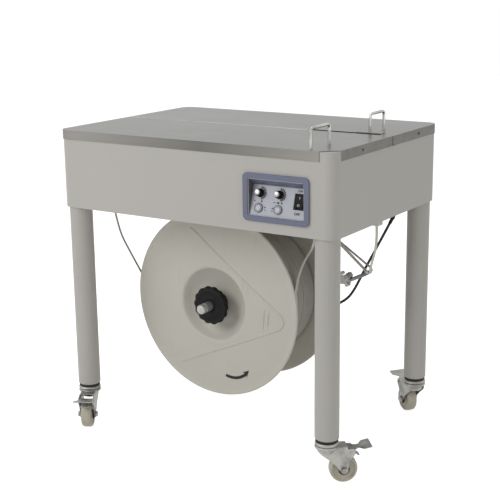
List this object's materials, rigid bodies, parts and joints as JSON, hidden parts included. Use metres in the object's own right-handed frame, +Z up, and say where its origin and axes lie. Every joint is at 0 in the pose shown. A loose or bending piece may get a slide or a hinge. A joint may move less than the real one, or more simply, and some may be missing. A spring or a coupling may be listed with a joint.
{
  "type": "semi-automatic strapping machine",
  "caption": "Table-height strapping machine on four braked casters, with a strap reel hung under the table, a guide slot in the steel top and a front control panel.",
  "frame": {"origin": "on the floor, under the middle of the outline without the power cord", "axes": "+Z up, -Y the operator's side with the control panel, +X to the operator's right"},
  "size_m": [0.838, 0.6318, 0.7818],
  "materials": {
    "grey_paint": "smooth warm grey enamel",
    "brushed_steel": "fine brushed stainless sheet",
    "zinc_plate": "bright zinc plate",
    "cream_nylon": "moulded nylon",
    "reel_plastic": "off-white moulded plastic",
    "strap_plastic": "white polypropylene band",
    "black_plastic": "satin black moulding",
    "blue_grey_plastic": "satin blue-grey moulding",
    "panel_grey": "pale grey panel",
    "button_grey": "light grey moulding",
    "rubber": "black rubber",
    "cast_metal": "grey cast housing"
  },
  "bodies": {
    "frame": {"leg_front_left": "grey_paint", "leg_front_right": "grey_paint", "leg_rear_left": "grey_paint", "leg_rear_right": "grey_paint", "body_shell": "grey_paint", "base_plate": "grey_paint", "front_top_plate": "brushed_steel", "rear_top_plate": "brushed_steel", "front_guide_loop": "brushed_steel", "rear_guide_loop": "brushed_steel", "panel_bezel": "blue_grey_plastic", "panel_plate": "panel_grey", "reel_axle": "zinc_plate", "reel_bracket": "grey_paint", "arm_bracket": "zinc_plate", "strap_reel_run": "strap_plastic", "strap_dancer_run": "strap_plastic", "strap_left_run": "strap_plastic", "strapping_head": "cast_metal", "gearbox": "cast_metal", "drive_motor": "cast_metal", "feed_bracket": "zinc_plate", "control_box": "cast_metal", "cord_gland": "black_plastic", "power_cord": "rubber", "cord_coil": "rubber", "mains_plug": "black_plastic"},
    "caster_front_left": {"fork_front_left": "zinc_plate", "axle_front_left": "zinc_plate"},
    "wheel_front_left": {"wheel_front_left": "cream_nylon"},
    "pedal_front_left": {"pedal_front_left": "zinc_plate"},
    "caster_front_right": {"fork_front_right": "zinc_plate", "axle_front_right": "zinc_plate"},
    "wheel_front_right": {"wheel_front_right": "cream_nylon"},
    "pedal_front_right": {"pedal_front_right": "zinc_plate"},
    "caster_rear_left": {"fork_rear_left": "zinc_plate", "axle_rear_left": "zinc_plate"},
    "wheel_rear_left": {"wheel_rear_left": "cream_nylon"},
    "pedal_rear_left": {"pedal_rear_left": "zinc_plate"},
    "caster_rear_right": {"fork_rear_right": "zinc_plate", "axle_rear_right": "zinc_plate"},
    "wheel_rear_right": {"wheel_rear_right": "cream_nylon"},
    "pedal_rear_right": {"pedal_rear_right": "zinc_plate"},
    "reel": {"reel_spindle": "zinc_plate", "front_flange": "reel_plastic", "rear_flange": "reel_plastic", "strap_coil": "strap_plastic"},
    "lock_nut": {"lock_nut": "black_plastic"},
    "brake_arm": {"brake_arm": "zinc_plate", "brake_shoe": "rubber"},
    "guide_roller": {"guide_roller": "cream_nylon"},
    "tension_knob": {"tension_knob": "black_plastic"},
    "feed_knob": {"feed_knob": "black_plastic"},
    "reset_button": {"reset_button": "button_grey"},
    "feed_button": {"feed_button": "button_grey"},
    "power_rocker": {"power_rocker": "black_plastic"},
    "cam_shaft": {"cam_shaft": "zinc_plate"},
    "press_block": {"press_block": "zinc_plate"},
    "anvil_slide": {"anvil_slide": "zinc_plate"},
    "feed_roller": {"feed_roller": "rubber"}
  },
  "joints": [
    {"name": "swivel_front_left", "type": "hinge", "parent": "frame", "child": "caster_front_left", "pos_m": [-0.34171, -0.22184, 0.09], "axis": [0, 0, 1], "continuous": true},
    {"name": "roll_front_left", "type": "hinge", "parent": "caster_front_left", "child": "wheel_front_left", "pos_m": [-0.32426, -0.25333, 0.0315], "axis": [0.8746, 0.4848, 0], "continuous": true},
    {"name": "brake_pedal_front_left", "type": "hinge", "parent": "caster_front_left", "child": "pedal_front_left", "pos_m": [-0.31699, -0.26645, 0.0715], "axis": [0.8746, 0.4848, 0], "range_deg": [0, 7.4]},
    {"name": "swivel_front_right", "type": "hinge", "parent": "frame", "child": "caster_front_right", "pos_m": [0.33229, -0.22184, 0.09], "axis": [0, 0, 1], "continuous": true},
    {"name": "roll_front_right", "type": "hinge", "parent": "caster_front_right", "child": "wheel_front_right", "pos_m": [0.35987, -0.1987, 0.0315], "axis": [-0.6428, 0.766, 0], "continuous": true},
    {"name": "brake_pedal_front_right", "type": "hinge", "parent": "caster_front_right", "child": "pedal_front_right", "pos_m": [0.37136, -0.18906, 0.0715], "axis": [-0.6428, 0.766, 0], "range_deg": [0, 7.4]},
    {"name": "swivel_rear_left", "type": "hinge", "parent": "frame", "child": "caster_rear_left", "pos_m": [-0.34171, 0.22916, 0.09], "axis": [0, 0, 1], "continuous": true},
    {"name": "roll_rear_left", "type": "hinge", "parent": "caster_rear_left", "child": "wheel_rear_left", "pos_m": [-0.36485, 0.25673, 0.0315], "axis": [-0.766, -0.6428, 0], "continuous": true},
    {"name": "brake_pedal_rear_left", "type": "hinge", "parent": "caster_rear_left", "child": "pedal_rear_left", "pos_m": [-0.37449, 0.26822, 0.0715], "axis": [-0.766, -0.6428, 0], "range_deg": [0, 7.4]},
    {"name": "swivel_rear_right", "type": "hinge", "parent": "frame", "child": "caster_rear_right", "pos_m": [0.33229, 0.22916, 0.09], "axis": [0, 0, 1], "continuous": true},
    {"name": "roll_rear_right", "type": "hinge", "parent": "caster_rear_right", "child": "wheel_rear_right", "pos_m": [0.30431, 0.25181, 0.0315], "axis": [-0.6293, -0.7771, 0], "continuous": true},
    {"name": "brake_pedal_rear_right", "type": "hinge", "parent": "caster_rear_right", "child": "pedal_rear_right", "pos_m": [0.29265, 0.26125, 0.0715], "axis": [-0.6293, -0.7771, 0], "range_deg": [0, 7.4]},
    {"name": "reel_spin", "type": "hinge", "parent": "frame", "child": "reel", "pos_m": [-0.04371, 0.00366, 0.318], "axis": [0, -1, 0], "continuous": true},
    {"name": "lock_nut_turn", "type": "hinge", "parent": "reel", "child": "lock_nut", "pos_m": [-0.04371, -0.11634, 0.318], "axis": [0, -1, 0], "continuous": true},
    {"name": "brake_arm_swing", "type": "hinge", "parent": "frame", "child": "brake_arm", "pos_m": [0.19229, 0.01466, 0.507], "axis": [0, -1, 0], "range_deg": [0, 20], "stiffness_Nm_per_rad": 2, "springref_deg": -14.32, "deforming": ["strap_dancer_run"]},
    {"name": "guide_roller_spin", "type": "hinge", "parent": "frame", "child": "guide_roller", "pos_m": [0.19229, -0.00034, 0.507], "axis": [0, -1, 0], "continuous": true},
    {"name": "tension_knob_turn", "type": "hinge", "parent": "frame", "child": "tension_knob", "pos_m": [0.17929, -0.23834, 0.63296], "axis": [0, -0.9583, 0.2857], "range_deg": [-135, 135]},
    {"name": "feed_knob_turn", "type": "hinge", "parent": "frame", "child": "feed_knob", "pos_m": [0.22729, -0.23834, 0.63296], "axis": [0, -0.9583, 0.2857], "range_deg": [-135, 135]},
    {"name": "reset_button_press", "type": "slide", "parent": "frame", "child": "reset_button", "axis": [0, 0.9583, -0.2857], "range_m": [0, 0.002], "stiffness_N_per_m": 300, "springref_m": -0.002},
    {"name": "feed_button_press", "type": "slide", "parent": "frame", "child": "feed_button", "axis": [0, 0.9583, -0.2857], "range_m": [0, 0.002], "stiffness_N_per_m": 300, "springref_m": -0.002},
    {"name": "power_switch", "type": "hinge", "parent": "frame", "child": "power_rocker", "pos_m": [0.27679, -0.24038, 0.62261], "axis": [1, 0, 0], "range_deg": [0, 14]},
    {"name": "cam_shaft_spin", "type": "hinge", "parent": "frame", "child": "cam_shaft", "pos_m": [0.19529, 0.01966, 0.622], "axis": [1, 0, 0], "continuous": true},
    {"name": "press_block_lift", "type": "slide", "parent": "frame", "child": "press_block", "axis": [0, 0, 1], "range_m": [0, 0.012]},
    {"name": "anvil_slide_shift", "type": "slide", "parent": "frame", "child": "anvil_slide", "axis": [0, 1, 0], "range_m": [0, 0.018]},
    {"name": "feed_roller_spin", "type": "hinge", "parent": "frame", "child": "feed_roller", "pos_m": [0.34649, -0.00034, 0.586], "axis": [0, -1, 0], "continuous": true}
  ]
}
